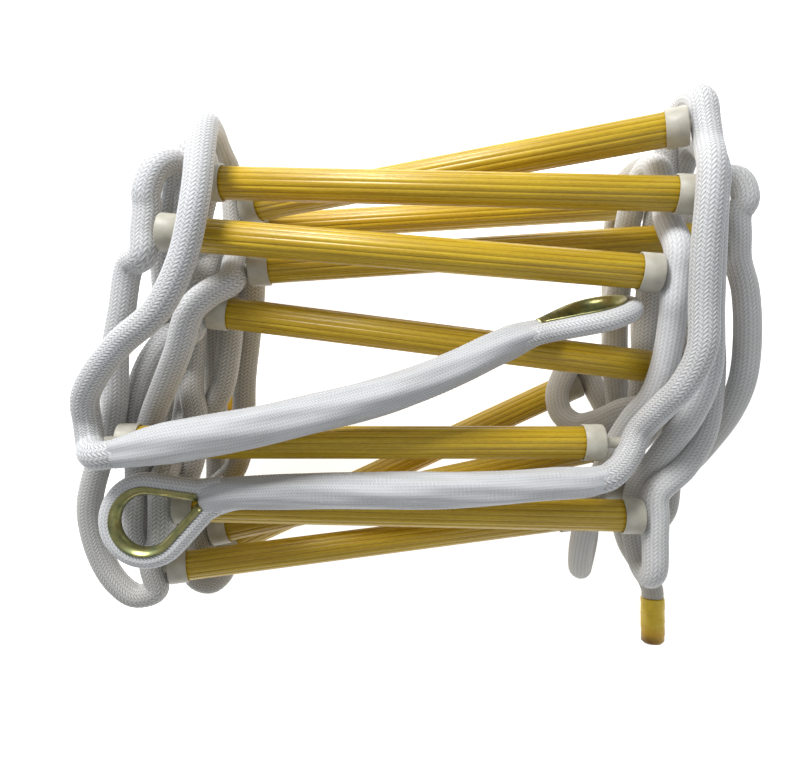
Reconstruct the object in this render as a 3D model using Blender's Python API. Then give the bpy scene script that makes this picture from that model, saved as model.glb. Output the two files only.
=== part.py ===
"""Escape rope ladder, folded into a bundle: fluted rungs, end caps, side ropes, thimble eyes."""
import math
import bpy
import bmesh
from mathutils import Matrix, Vector
from mathutils.bvhtree import BVHTree

# ---------------------------------------------------------------- sizes, in metres
ROPE_R = 0.010            # side rope radius
TUBE_R = 0.012            # rung tube, over the ribs
GROOVE_R = 0.01145        # rung tube, bottom of the flutes
BORE_R = 0.0088           # hollow inside of the tube
RIBS = 16
CAP_R = 0.0135            # nylon cap round the tube end
CAP_LENGTH = 0.015
CAP_BORE_R = 0.0123
CAP_FLOOR = 0.003
TUBE_INSET = 0.0033       # tube end stays 0.3 mm off the cap floor
SPIGOT_R = 0.0042
POCKET_R = 0.0048
SPIGOT_BURY = 0.0055      # how deep the cap's tail sits in the rope
POCKET_GAP = 0.0006
SPLICE_R = 0.013          # served splice below each eye
LOOP_R = 0.007            # rope drawn round the thimble
GROOVE_THIMBLE_R = 0.0073
THIMBLE_WALL = 0.0014
HOLE_R = 0.0185           # round end of the thimble hole
HOLE_LENGTH = 0.058       # point to round end
TAPE_R = 0.0112
GUARD = 0.017             # straight rope kept each side of a rung end
STEP = 0.002              # fine sampling of a rope route
END_SAMPLES = 3           # short straight piece kept at each end of a route
TURN = math.radians(24)
REACH = 0.055
END_GAP = 0.0003
ROUND = 16

CENTRE = (6.36, -6.41, 0.61)  # mm, bottom centre of the folded bundle in layout axes

# rung ends in layout millimetres: left end, right end
RUNGS = {
    1: ((-130, 154, 70), (197, 182, 180)),
    2: ((-143, 152, 150), (202, 134, 183)),
    3: ((-168, 112, 168), (180, 82, 175)),
    4: ((-112, 92, 136), (235, 115, 136)),
    5: ((-128, 144, 43), (221, 165, 43)),
    6: ((-143, 61, 132), (204, 17, 133)),
    7: ((-202, -36, 154), (148, -37, 146)),
    8: ((-160, -140, 14), (157, 9, 40)),
    9: ((-189, -144, 85), (157, -111, 28)),
    10: ((-168, -85, 133), (181, -93, 133)),
    11: ((-163, -120, 52), (179, -46, 52)),
    12: ((-170, -85, 80), (180, -76, 80)),
}


def at(x, y, z):
    return Vector((x - CENTRE[0], y - CENTRE[1], z - CENTRE[2])) / 1000.0


def rung_ends(number):
    left, right = RUNGS[number]
    return at(*left), at(*right)


def crossing(number, side, direction, gap=0.8):
    """Three route points that lay the rope straight across the end of a rung."""
    left, right = rung_ends(number)
    axis = (right - left).normalized()
    end = right
    if side == "left":
        axis = -axis
        end = left
    along = Vector(direction)
    if gap < 2:
        along = along - axis * along.dot(axis)
    along.normalize()
    middle = end + axis * (ROPE_R + gap / 1000.0)
    return [middle - along * GUARD, middle, middle + along * GUARD]


def r(number, *direction, gap=0.8):
    return crossing(number, "right", direction, gap)


def l(number, *direction, gap=0.8):
    return crossing(number, "left", direction, gap)


def route(*items):
    """Join single layout points and rung crossings into one list of positions."""
    points = []
    for item in items:
        if isinstance(item, list):
            points.extend(item)
        else:
            points.append(at(*item))
    return points


# ---------------------------------------------------------------- rope routes
RIGHT_ROPE = route(
    (141.5, -62.1, 160.9), (147, -61.2, 160), (156, -56, 155.5), (166, -45, 150), (174, -28, 150),
    (184, -10, 168), (192, 4, 183), (200, 28, 194), (200, 61, 198), (199, 95, 204),
    (200, 128, 208), (202, 148, 205),
    r(1, 0, 0.93, -0.36),
    (208, 208, 160), (207, 205, 140), (205, 188, 124), (203, 150, 112), (198, 115, 109),
    (194, 60, 108), (193, 17, 102), (192, -30, 92),
    r(12, 0, -1, 0),
    (194, -103, 80), (204, -110, 82), (215, -98, 86), (219, -70, 88), (222, -35, 90),
    (230, -5, 91), (241, 25, 93), (238, 60, 94), (226, 115, 94), (221, 150, 98),
    (219, 172, 112), (219, 184, 130), (217, 182, 150),
    r(2, 0, -1, 0),
    (216, 80, 172), (218, 60, 166), (219, 15, 160), (211, -18, 148), (197, -48, 129),
    (187, -76, 107), (187, -112, 100), (190, -134, 106), (192, -141, 119), (192, -134, 130),
    r(10, 0, 1, 0),
    (212, -56, 134), (227, -32, 133), (234, 0, 131), (236, 40, 127), (232, 80, 113),
    (231, 115, 108.5), (232, 145, 115), (240, 160, 128), (252, 158, 136), (256, 142, 139),
    r(4, 0, -1, 0, gap=7),
    (255, 75, 141), (258, 40, 138), (258, 10, 131), (255, -14, 117), (247, -38, 98),
    (236, -62, 76), (221, -82, 58), (205, -88, 48),
    r(11, 0, 1, 0),
    (186, -10, 60), (180, 15, 74), (176, 60, 88), (178, 115, 102), (182, 150, 112),
    (187, 168, 124), (190, 166, 140), (192, 142, 149.5), (192, 123, 156.5),
    r(3, 0, -1, 0),
    (190, 50, 170), (188, 17, 159), (184, -4, 147), (176, -20, 131), (167, -40, 119),
    (160, -60, 111), (153, -80, 106), (149, -100, 101), (149, -124, 84), (153, -145, 62),
    (159, -153, 42),
    r(9, 0, 1, 0),
    (184, -76, 28), (208, -48, 36), (226, -22, 48), (226, 5, 62), (222, 28, 78),
    (218, 42, 98), (216, 40, 118),
    r(6, 0, -1, 0),
    (205, -9, 126), (193, -12, 118), (178, -14, 107), (160, -24, 90), (147, -27, 77),
    (136, -18, 68), (133, -2, 65), (140, 16, 62), (152, 32, 50),
    r(8, 0.42, -0.9, 0),
    (186, -18, 36), (202, -24, 33), (214, -10, 33), (216, 30, 34), (216, 70, 35),
    (224, 95, 38), (231, 122, 42),
    r(5, 0, 1, 0, gap=1.9),
    (230, 190, 42), (220, 200, 36), (207, 194, 26), (200, 175, 18), (197, 140, 13),
    (196, 90, 12), (196, 40, 12), (196, -12, 12), (193, -53, 12), (198, -92, 12),
    (202, -108, 12), (204, -116, 12),
)
RIGHT_TAIL = route(
    (204.3, -117.2, 12), (206.2, -125, 12), (211, -140, 12), (222, -159, 12), (231, -177, 12),
    (232.8, -183, 12), (233, -189, 12),
)
RIGHT_TAPE = route((233, -189.8, 12), (233.2, -210, 12), (233.2, -231, 12))

LEFT_ROPE = route(
    (-190.7, -41.3, 181.1), (-196, -42.3, 180.7), (-205, -43.7, 178.5), (-214, -43, 171), (-221, -37, 158), (-224, -22, 156),
    (-223, -6, 163), (-213, 10, 172), (-191, 33, 181), (-163, 55, 189), (-145, 87, 194),
    (-136, 128, 194), (-136, 165, 181), (-139, 190, 160), (-141, 195, 135),
    (-142, 190, 108), (-141, 182, 82),
    l(1, 0, -1, 0),
    (-138, 112, 72), (-136, 75, 88), (-137, 33, 98), (-143, 2, 98), (-155, -18, 97),
    (-170, -45, 90),
    l(12, 0, -1, 0),
    (-185, -110, 84), (-189, -114, 98), (-184, -98, 108), (-172, -75, 110),
    (-163, -55, 110), (-160, -18, 111), (-163, 2, 111), (-162, 31, 110), (-162, 62, 107),
    (-162, 100, 108), (-156, 135, 112), (-148, 163, 120), (-148, 178, 134),
    (-152, 176, 147),
    l(2, 0, -1, 0),
    (-162, 118, 136), (-171, 95, 118), (-175, 62, 92), (-173, 0, 88), (-175, -40, 104),
    l(10, 0, -1, 0),
    (-182, -115, 130), (-192, -124, 129), (-200, -110, 128), (-201, -85, 126),
    (-198, -58, 125), (-188, -21, 128), (-176, 2, 138), (-161, 30, 150), (-149, 58, 160),
    (-137, 70, 158),
    l(4, 0.2, 0.65, -0.75, gap=1.9),
    (-119, 110, 112), (-118, 104, 101), (-119, 85, 92), (-125, 50, 77), (-130, 10, 72),
    (-133, -30, 64), (-142, -65, 54), (-163, -86, 49),
    l(11, 0, -1, 0),
    (-176, -146, 49), (-188, -151, 48), (-197, -138, 48), (-198, -100, 54),
    (-196, -60, 62), (-195, -10, 80), (-190, 40, 98), (-183, 72, 112), (-177, 105, 134),
    (-170, 130, 142), (-164, 150, 147), (-162, 164, 157), (-170, 158, 168),
    (-177, 140, 170),
    l(3, 0, -1, 0),
    (-193, 90, 158), (-201, 59, 152), (-208, 31, 146), (-213, -6, 136), (-224, -37, 122),
    (-235, -60, 115), (-245, -93, 105), (-241, -131, 95), (-229, -155, 90),
    (-215, -166, 87),
    l(9, -0.15, 1, 0.1, gap=3),
    (-204, -118, 98), (-208, -88, 100), (-208, -50, 104), (-204, -10, 116),
    (-190, 22, 127), (-172, 42, 131),
    l(6, 0.13, 0.99, 0, gap=1.9),
    (-150, 84, 130), (-147, 98, 122), (-148, 106, 108), (-151, 100, 92), (-155, 80, 76),
    (-158, 40, 64), (-160, 0, 52), (-162, -50, 38), (-166, -90, 27), (-176, -112, 19),
    l(8, 0.42, -0.9, 0),
    (-163, -166, 12), (-174, -176, 12), (-188, -172, 12), (-196, -150, 12),
    (-196, -100, 12), (-192, -50, 12), (-188, 0, 13), (-174, 60, 18), (-158, 100, 27),
    (-144, 125, 38),
    l(5, 0, 1, 0),
    (-140, 170, 40), (-142, 180, 28), (-144, 176, 15), (-146, 155, 12), (-146, 120, 12),
    (-150, 60, 12), (-156, 20, 12),
)
LEFT_TAPE = route((-156.1, 19.4, 12), (-160, -2, 12), (-164, -23, 12))

LOWER_SPLICE = route(
    (-122, -73, 160), (-98, -71.5, 160), (-60, -70, 161), (0, -70, 162), (70, -68, 163),
    (110, -65, 163), (132, -63.7, 162.3), (140.6, -62.2, 161),
)
LOWER_SPLICE_RADII = (0.0115, 0.0125, 0.013, 0.013, 0.0125, 0.012, 0.0115, 0.0105)
UPPER_SPLICE = route(
    (82, 37, 169.5), (64, 29, 173), (40, 17, 176), (0, 1, 179), (-60, -15, 181),
    (-108, -26, 183), (-150, -33, 184), (-189.4, -41, 181.2),
)
UPPER_SPLICE_RADII = (0.0115, 0.0125, 0.013, 0.0132, 0.014, 0.0145, 0.0145, 0.0115)

# eyes: point of the thimble hole, direction of its long axis, direction square to its flat
LOWER_EYE = (at(-143, -78, 160), Vector((-0.94, -0.34, 0)), Vector((0, 0, 1)))
UPPER_EYE = (at(102, 43.5, 165), Vector((0.93, 0.29, -0.20)), Vector((0.30, -0.90, -0.27)))


# ---------------------------------------------------------------- scene and materials
def clear_scene():
    for item in list(bpy.data.objects):
        bpy.data.objects.remove(item, do_unlink=True)


def new_collection(name):
    group = bpy.data.collections.new(name)
    bpy.context.scene.collection.children.link(group)
    return group


def material(name, colour, roughness, metallic=0.0):
    mat = bpy.data.materials.new(name)
    mat.use_nodes = True
    shader = mat.node_tree.nodes["Principled BSDF"]
    shader.inputs["Base Color"].default_value = (*colour, 1.0)
    shader.inputs["Roughness"].default_value = roughness
    shader.inputs["Metallic"].default_value = metallic
    mat.diffuse_color = (*colour, 1.0)
    return mat


# ---------------------------------------------------------------- shape helpers
def smooth_path(points):
    """Centripetal Catmull-Rom curve through the points, sampled finely."""
    ring = [points[0] * 2 - points[1]] + list(points) + [points[-1] * 2 - points[-2]]
    samples = []
    for i in range(1, len(ring) - 2):
        p0, p1, p2, p3 = ring[i - 1:i + 3]
        t1 = (p1 - p0).length ** 0.5
        t2 = t1 + (p2 - p1).length ** 0.5
        t3 = t2 + (p3 - p2).length ** 0.5
        count = max(2, int((p2 - p1).length / STEP))
        for k in range(count):
            t = t1 + (t2 - t1) * k / count
            a1 = p0 * ((t1 - t) / t1) + p1 * (t / t1)
            a2 = p1 * ((t2 - t) / (t2 - t1)) + p2 * ((t - t1) / (t2 - t1))
            a3 = p2 * ((t3 - t) / (t3 - t2)) + p3 * ((t - t2) / (t3 - t2))
            b1 = a1 * ((t2 - t) / t2) + a2 * (t / t2)
            b2 = a2 * ((t3 - t) / (t3 - t1)) + a3 * ((t - t1) / (t3 - t1))
            samples.append(b1 * ((t2 - t) / (t2 - t1)) + b2 * ((t - t1) / (t2 - t1)))
    samples.append(points[-1])
    return samples


def thin_out(samples):
    """Keep a sample wherever the path has turned or run far enough."""
    kept = [0]
    for i in range(1, len(samples) - 1):
        last = kept[-1]
        here = (samples[i + 1] - samples[i]).normalized()
        before = (samples[last + 1] - samples[last]).normalized()
        turned = before.angle(here, 0.0)
        run = (samples[i] - samples[last]).length
        if turned > TURN or run > REACH:
            kept.append(i)
    kept.append(len(samples) - 1)
    straight_ends = {0, END_SAMPLES, len(samples) - 1 - END_SAMPLES, len(samples) - 1}
    inner = [i for i in kept if END_SAMPLES + 1 < i < len(samples) - 2 - END_SAMPLES]
    return sorted(straight_ends.union(inner))


def tube_from_points(name, group, mat, points, radius, radii=None, cyclic=False):
    data = bpy.data.curves.new(name, "CURVE")
    data.dimensions = "3D"
    data.bevel_depth = radius
    data.bevel_resolution = 2
    data.use_fill_caps = True
    data.twist_mode = "MINIMUM"
    spline = data.splines.new("POLY")
    spline.points.add(len(points) - 1)
    for i, point in enumerate(points):
        spline.points[i].co = (*point, 1.0)
        spline.points[i].radius = radii[i] / radius if radii else 1.0
    spline.use_cyclic_u = cyclic
    curve = bpy.data.objects.new(name + "_curve", data)
    group.objects.link(curve)
    return curve_to_mesh(curve, name, group, mat)


def curve_to_mesh(curve, name, group, mat):
    graph = bpy.context.evaluated_depsgraph_get()
    mesh = bpy.data.meshes.new_from_object(curve.evaluated_get(graph))
    body = bpy.data.objects.new(name, mesh)
    body.matrix_world = curve.matrix_world
    group.objects.link(body)
    bpy.data.objects.remove(curve, do_unlink=True)
    soft = bmesh.new()
    soft.from_mesh(mesh)
    bmesh.ops.remove_doubles(soft, verts=soft.verts, dist=0.00002)
    bmesh.ops.recalc_face_normals(soft, faces=soft.faces)
    soft.to_mesh(mesh)
    soft.free()
    mesh.materials.clear()
    mesh.materials.append(mat)
    return body


def rope_body(name, group, mat, points, radius):
    samples = smooth_path(points)
    kept = thin_out(samples)
    return tube_from_points(name, group, mat, [samples[i] for i in kept], radius)


def add_mesh(name, group, mat, verts, faces):
    mesh = bpy.data.meshes.new(name)
    mesh.from_pydata([tuple(v) for v in verts], [], faces)
    mesh.update()
    fix = bmesh.new()
    fix.from_mesh(mesh)
    bmesh.ops.recalc_face_normals(fix, faces=fix.faces)
    fix.to_mesh(mesh)
    fix.free()
    mesh.materials.append(mat)
    body = bpy.data.objects.new(name, mesh)
    group.objects.link(body)
    return body


def revolve(name, group, mat, profile, segments):
    """Solid of revolution about local +X from (x, radius) pairs that start and end on the axis."""
    verts = []
    faces = []
    rings = profile[1:-1]
    for x, radius in rings:
        for k in range(segments):
            angle = 2 * math.pi * k / segments
            verts.append((x, radius * math.cos(angle), radius * math.sin(angle)))
    for i in range(len(rings) - 1):
        for k in range(segments):
            a = i * segments + k
            b = i * segments + (k + 1) % segments
            faces.append((a, b, b + segments, a + segments))
    faces.append(tuple(range(segments)))
    last = (len(rings) - 1) * segments
    faces.append(tuple(range(last, last + segments)))
    return add_mesh(name, group, mat, verts, faces)


def axis_frame(origin, direction):
    x = direction.normalized()
    side = Vector((0, 0, 1)).cross(x).normalized()
    up = x.cross(side)
    frame = Matrix((x, side, up)).transposed().to_4x4()
    frame.translation = origin
    return frame


# ---------------------------------------------------------------- rungs
def rung_tube(number, group, mat):
    """Hollow pultruded tube with shallow flutes all round."""
    left, right = rung_ends(number)
    length = (right - left).length
    start = TUBE_INSET
    stop = length - TUBE_INSET
    outer = RIBS * 2
    verts = []
    for x in (start, stop):
        for k in range(outer):
            radius = TUBE_R if k % 2 == 0 else GROOVE_R
            angle = 2 * math.pi * k / outer
            verts.append((x, radius * math.cos(angle), radius * math.sin(angle)))
        for k in range(RIBS):
            angle = 2 * math.pi * k / RIBS
            verts.append((x, BORE_R * math.cos(angle), BORE_R * math.sin(angle)))
    ring = outer + RIBS
    faces = []
    for k in range(outer):
        after = (k + 1) % outer
        faces.append((k, after, after + ring, k + ring))
    for k in range(RIBS):
        a = outer + k
        b = outer + (k + 1) % RIBS
        faces.append((b, a, a + ring, b + ring))
    for base in (0, ring):
        for k in range(RIBS):
            a = base + 2 * k
            b = base + (2 * k + 1)
            c = base + (2 * k + 2) % outer
            inner_a = base + outer + k
            inner_c = base + outer + (k + 1) % RIBS
            faces.append((a, b, inner_a))
            faces.append((b, c, inner_c))
            faces.append((b, inner_c, inner_a))
    body = add_mesh(f"rung_{number:02d}_tube", group, mat, verts, faces)
    body.matrix_world = axis_frame(left, right - left)
    return body


def rung_cap(number, side, group, mat, reach):
    """Nylon cap: a cup over the tube end and a tail that is buried in the rope."""
    left, right = rung_ends(number)
    end = right if side == "right" else left
    outward = (right - left) if side == "right" else (left - right)
    profile = [
        (reach, 0.0),
        (reach, SPIGOT_R * 0.8),
        (reach - 0.001, SPIGOT_R),
        (0.0, SPIGOT_R),
        (0.0, CAP_R - 0.001),
        (-0.001, CAP_R),
        (-CAP_LENGTH, CAP_R),
        (-CAP_LENGTH, CAP_BORE_R),
        (-CAP_FLOOR, CAP_BORE_R),
        (-CAP_FLOOR, 0.0),
    ]
    body = revolve(f"rung_{number:02d}_cap_{side}", group, mat, profile, ROUND)
    body.matrix_world = axis_frame(end, outward)
    return body


def tail_reach(rope_points, end, outward):
    """Distance from the cap face to the tip of the tail inside the rope."""
    axis = outward.normalized()
    best = None
    for point in smooth_path(rope_points):
        offset = point - end
        along = offset.dot(axis)
        away = (offset - axis * along).length
        score = away * 1.5 + along
        if 0.004 < along < 0.035 and away < 0.006 and (best is None or score < best[0]):
            best = (score, along)
    return best[1] - ROPE_R + SPIGOT_BURY


def cut_pocket(rope, cutters, name, end, outward, reach):
    """Blind hole in the side of the rope for the tail of one cap."""
    profile = [
        (reach + POCKET_GAP, 0.0),
        (reach + POCKET_GAP, POCKET_R),
        (-0.001, POCKET_R),
        (-0.001, 0.0),
    ]
    cutter = revolve(name, cutters, rope.data.materials[0], profile, 12)
    cutter.matrix_world = axis_frame(end, outward)
    cutter.hide_render = True
    cutter.display_type = "WIRE"
    return cutter


def apply_cut(body, cutters):
    for cutter in cutters:
        bpy.context.view_layer.update()
        modifier = body.modifiers.new("pocket", "BOOLEAN")
        modifier.operation = "DIFFERENCE"
        modifier.solver = "EXACT"
        modifier.object = cutter
        graph = bpy.context.evaluated_depsgraph_get()
        mesh = bpy.data.meshes.new_from_object(body.evaluated_get(graph))
        old = body.data
        body.modifiers.clear()
        body.data = mesh
        bpy.data.meshes.remove(old)


# ---------------------------------------------------------------- eyes
def eye_frame(eye):
    point, along, normal = eye
    x = along.normalized()
    z = (normal - x * normal.dot(x)).normalized()
    y = z.cross(x)
    frame = Matrix((x, y, z)).transposed().to_4x4()
    frame.translation = point
    return frame


def teardrop(offset, start_x, arc_steps, straight_steps):
    """Open teardrop path at a distance outside the thimble hole: position and outward side."""
    centre = HOLE_LENGTH - HOLE_R
    half = math.asin(HOLE_R / centre)
    radius = HOLE_R + offset
    lean = math.pi / 2 + half
    tangent_x = centre + radius * math.cos(lean)
    tangent_y = radius * math.sin(lean)
    outward = Vector((math.cos(lean), math.sin(lean), 0))
    along = Vector((math.cos(half), math.sin(half), 0))
    run = (tangent_x - start_x) / math.cos(half)
    path = []
    for k in range(straight_steps):
        back = run * (1 - k / straight_steps)
        point = Vector((tangent_x, tangent_y, 0)) - along * back
        path.append((point, outward))
    for k in range(arc_steps + 1):
        angle = lean - 2 * lean * k / arc_steps
        side = Vector((math.cos(angle), math.sin(angle), 0))
        path.append((Vector((centre, 0, 0)) + side * radius, side))
    mirrored = []
    for point, side in path[:straight_steps]:
        mirrored.append((Vector((point.x, -point.y, 0)), Vector((side.x, -side.y, 0))))
    return path + mirrored[::-1]


def thimble(name, group, mat, eye):
    """Bent channel of metal that lines the eye."""
    offset = THIMBLE_WALL + GROOVE_THIMBLE_R
    path = teardrop(offset, 0.003, 20, 2)
    spread = math.radians(68)
    steps = 6
    profile = []
    for k in range(steps + 1):
        angle = -spread + 2 * spread * k / steps
        profile.append((-GROOVE_THIMBLE_R * math.cos(angle), GROOVE_THIMBLE_R * math.sin(angle)))
    outer_r = GROOVE_THIMBLE_R + THIMBLE_WALL
    for k in range(steps + 1):
        angle = spread - 2 * spread * k / steps
        profile.append((-outer_r * math.cos(angle), outer_r * math.sin(angle)))
    count = len(profile)
    verts = []
    for point, side in path:
        for out, up in profile:
            verts.append(point + side * out + Vector((0, 0, up)))
    faces = []
    for i in range(len(path) - 1):
        for k in range(count):
            a = i * count + k
            b = i * count + (k + 1) % count
            faces.append((a, b, b + count, a + count))
    last = (len(path) - 1) * count
    for base in (0, last):
        for k in range(steps):
            a = base + k
            b = base + count - 1 - k
            faces.append((a, a + 1, b - 1, b))
    body = add_mesh(name, group, mat, verts, faces)
    body.matrix_world = eye_frame(eye)
    return body


def eye_loop(name, group, mat, eye):
    """Rope ring that runs in the thimble groove and closes in front of the splice."""
    offset = THIMBLE_WALL + GROOVE_THIMBLE_R
    turn_x = -0.005
    path = [point for point, side in teardrop(offset, turn_x, 20, 2)]
    throat = path[0].y
    closing = []
    for k in range(1, 6):
        angle = math.pi * k / 6
        closing.append(Vector((turn_x - throat * math.sin(angle), -throat * math.cos(angle), 0)))
    frame = eye_frame(eye)
    points = [frame @ p for p in path + closing]
    return tube_from_points(name, group, mat, points, LOOP_R, cyclic=True)


# ---------------------------------------------------------------- build
def build():
    clear_scene()
    ladder = new_collection("escape_rope_ladder")
    cutters = new_collection("cutters")
    glass = material("rung_yellow_glassfibre", (0.55, 0.37, 0.035), 0.35)
    nylon = material("cap_nylon", (0.62, 0.60, 0.50), 0.45)
    cord = material("rope_white_polyester", (0.75, 0.76, 0.78), 0.8)
    served = material("served_white_thread", (0.78, 0.78, 0.80), 0.75)
    brass = material("thimble_plated_steel", (0.42, 0.38, 0.16), 0.3, 1.0)
    yellow = material("tape_yellow", (0.72, 0.52, 0.03), 0.5)

    ropes = {
        "left": rope_body("left_side_rope", ladder, cord, LEFT_ROPE, ROPE_R),
        "right": rope_body("right_side_rope", ladder, cord, RIGHT_ROPE, ROPE_R),
    }
    routes = {"left": LEFT_ROPE, "right": RIGHT_ROPE}
    for number in RUNGS:
        rung_tube(number, ladder, glass)
    for side in ("left", "right"):
        cuts = []
        for number in RUNGS:
            left, right = rung_ends(number)
            end = right if side == "right" else left
            outward = (right - left) if side == "right" else (left - right)
            reach = tail_reach(routes[side], end, outward)
            rung_cap(number, side, ladder, nylon, reach)
            name = f"pocket_{number:02d}_{side}"
            cuts.append(cut_pocket(ropes[side], cutters, name, end, outward, reach))
        apply_cut(ropes[side], cuts)

    rope_body("right_rope_tail", ladder, cord, RIGHT_TAIL, ROPE_R)
    rope_body("right_tail_tape", ladder, yellow, RIGHT_TAPE, TAPE_R)
    rope_body("left_tail_tape", ladder, yellow, LEFT_TAPE, TAPE_R)
    tube_from_points("lower_eye_splice", ladder, served, LOWER_SPLICE, SPLICE_R, LOWER_SPLICE_RADII)
    tube_from_points("upper_eye_splice", ladder, served, UPPER_SPLICE, SPLICE_R, UPPER_SPLICE_RADII)
    thimble("lower_thimble", ladder, brass, LOWER_EYE)
    thimble("upper_thimble", ladder, brass, UPPER_EYE)
    eye_loop("lower_eye_loop", ladder, cord, LOWER_EYE)
    eye_loop("upper_eye_loop", ladder, cord, UPPER_EYE)


build()
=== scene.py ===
import math

import bpy
import numpy as np
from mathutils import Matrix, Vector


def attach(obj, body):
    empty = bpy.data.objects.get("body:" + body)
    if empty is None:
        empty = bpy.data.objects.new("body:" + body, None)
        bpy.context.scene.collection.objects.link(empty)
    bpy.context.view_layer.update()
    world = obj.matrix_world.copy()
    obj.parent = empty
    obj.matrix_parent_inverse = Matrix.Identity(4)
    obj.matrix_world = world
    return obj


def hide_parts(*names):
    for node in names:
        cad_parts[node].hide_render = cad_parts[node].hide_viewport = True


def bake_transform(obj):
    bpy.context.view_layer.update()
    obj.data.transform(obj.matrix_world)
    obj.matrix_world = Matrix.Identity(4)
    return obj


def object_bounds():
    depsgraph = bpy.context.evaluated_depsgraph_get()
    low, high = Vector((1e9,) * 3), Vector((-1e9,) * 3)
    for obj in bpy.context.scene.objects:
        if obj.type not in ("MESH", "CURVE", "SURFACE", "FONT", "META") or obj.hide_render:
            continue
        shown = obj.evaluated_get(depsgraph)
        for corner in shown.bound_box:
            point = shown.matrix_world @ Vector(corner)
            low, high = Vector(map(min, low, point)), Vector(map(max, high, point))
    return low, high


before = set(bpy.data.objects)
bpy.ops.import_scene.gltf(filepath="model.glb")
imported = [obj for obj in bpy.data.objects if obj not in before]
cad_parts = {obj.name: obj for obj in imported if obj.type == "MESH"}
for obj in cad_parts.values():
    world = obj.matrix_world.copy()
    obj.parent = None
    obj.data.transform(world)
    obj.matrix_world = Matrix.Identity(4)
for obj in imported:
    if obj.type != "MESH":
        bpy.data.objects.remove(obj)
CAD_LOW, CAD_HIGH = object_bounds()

# ---------------------------------------------------------------- sizes, in metres
CORE_R = 0.010            # side rope as the CAD solid has it
ROPE_R = 0.0101           # side rope, over the strands
ROPE_COLUMNS = 20         # columns of slanted strands round the rope
ROPE_PITCH = 0.0029       # from one strand to the next along a column
ROPE_DEPTH = 0.00070      # from the top of a strand to the groove beside it
STRAND_SAMPLES = 3        # mesh steps along and across one strand
TAPE_R = 0.0110
TAPE_STEP = 0.0008
TAPE_LEAD = 0.012         # the winding moves on this far each turn
TUBE_R = 0.012
GROOVE_R = 0.01135
BORE_R = 0.0088
RIBS = 16
CAP_R = 0.0135
CAP_LENGTH = 0.015
CAP_BORE_R = 0.0123
CAP_FLOOR = 0.003
TUBE_INSET = 0.0033
SPIGOT_R = 0.0042
SPIGOT_BURY = 0.0055
LOOP_R = 0.0072
LOOP_COLUMNS = 16
LOOP_PITCH = 0.0026
LOOP_DEPTH = 0.0005
SPLICE_COLUMNS = 36
SPLICE_PITCH = 0.0020
SPLICE_DEPTH = 0.00026
THROAT_LENGTH = 0.032     # the cover changes from an oval to a round over this length
THROAT_WIDTH = 1.18       # half-widths of the oval, as shares of the cover's radius
THROAT_HEIGHT = 0.70
THROAT_TIP = 0.007        # rounded tip of the cover
COVER_TAPER = 0.025       # the cover thins down to the rope over this length
COVER_END = 0.89
COVER_LAP = 0.004         # the cover laps this far over the rope
THIMBLE_START = -0.0036   # where each leg of the thimble starts, from the hole's point
LOOP_START = -0.002
GROOVE_THIMBLE_R = 0.0073
THIMBLE_WALL = 0.0014
HOLE_R = 0.0185
HOLE_LENGTH = 0.058
GUARD = 0.017
STEP = 0.002

CENTRE = (6.36, -6.41, 0.61)  # mm, bottom centre of the folded bundle in layout axes
CAMERA_HEIGHT = 0.65739
CAMERA_LENS = 31.5

# rung ends in layout millimetres: left end, right end
RUNGS = {
    1: ((-130, 154, 70), (197, 182, 180)),
    2: ((-143, 152, 150), (202, 134, 183)),
    3: ((-168, 112, 168), (180, 82, 175)),
    4: ((-112, 92, 136), (235, 115, 136)),
    5: ((-128, 144, 43), (221, 165, 43)),
    6: ((-143, 61, 132), (204, 17, 133)),
    7: ((-202, -36, 154), (148, -37, 146)),
    8: ((-160, -140, 14), (157, 9, 40)),
    9: ((-189, -144, 85), (157, -111, 28)),
    10: ((-168, -85, 133), (181, -93, 133)),
    11: ((-163, -120, 52), (179, -46, 52)),
    12: ((-170, -85, 80), (180, -76, 80)),
}


def at(x, y, z):
    return (np.array((x, y, z), float) - np.array(CENTRE)) / 1000.0


def unit(vector):
    vector = np.asarray(vector, float)
    return vector / np.linalg.norm(vector)


def rung_ends(number):
    left, right = RUNGS[number]
    return at(*left), at(*right)


def crossing(number, side, direction, gap=0.8):
    """Three route points that lay the rope straight across the end of a rung."""
    left, right = rung_ends(number)
    axis = unit(right - left)
    end = right
    if side == "left":
        axis = -axis
        end = left
    along = np.array(direction, float)
    if gap < 2:
        along = along - axis * along.dot(axis)
    along = unit(along)
    middle = end + axis * (CORE_R + gap / 1000.0)
    return [middle - along * GUARD, middle, middle + along * GUARD]


def r(number, *direction, gap=0.8):
    return crossing(number, "right", direction, gap)


def l(number, *direction, gap=0.8):
    return crossing(number, "left", direction, gap)


def route(*items):
    """Join single layout points and rung crossings into one list of positions."""
    points = []
    for item in items:
        if isinstance(item, list):
            points.extend(item)
        else:
            points.append(at(*item))
    return points


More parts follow.
